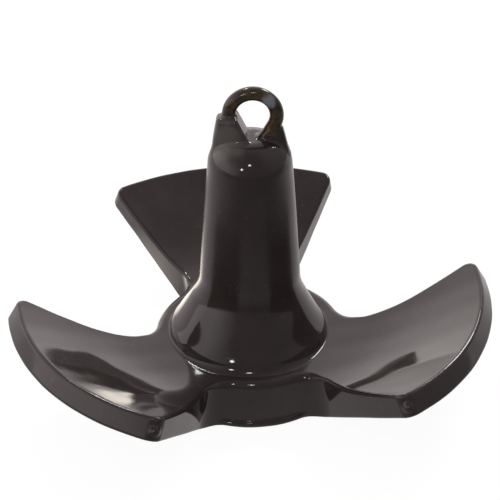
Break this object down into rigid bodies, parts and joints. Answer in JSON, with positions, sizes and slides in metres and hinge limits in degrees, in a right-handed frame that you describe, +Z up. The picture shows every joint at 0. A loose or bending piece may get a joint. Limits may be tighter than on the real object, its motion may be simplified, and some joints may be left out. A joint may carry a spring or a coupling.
{
  "type": "river anchor",
  "caption": "Dipped cast-iron boat anchor: a thick post on a round hub with cupped flukes, and a bent-bar eye in its head for the rope or shackle.",
  "frame": {"origin": "centre of the flat round base, on the shank's axis", "axes": "+Z up along the shank; the eye lies in the XZ plane, with the high side of the crown on -X; the rear fluke points 8.7 degrees from +Y towards -X"},
  "size_m": [0.2808, 0.2718, 0.1921],
  "materials": {
    "vinyl": "black dipped vinyl, wet gloss",
    "iron": "rough as cast, under the skin",
    "steel": "bent round bar, mill finish"
  },
  "bodies": {
    "root": {"eye_rod": "steel", "eye_coating": "vinyl", "shank_casting": "iron", "shank_coating": "vinyl", "hub_casting": "iron", "hub_coating": "vinyl", "fluke_casting_rear": "iron", "fluke_coating_rear": "vinyl", "fluke_casting_left": "iron", "fluke_coating_left": "vinyl", "fluke_casting_right": "iron", "fluke_coating_right": "vinyl"}
  },
  "joints": []
}
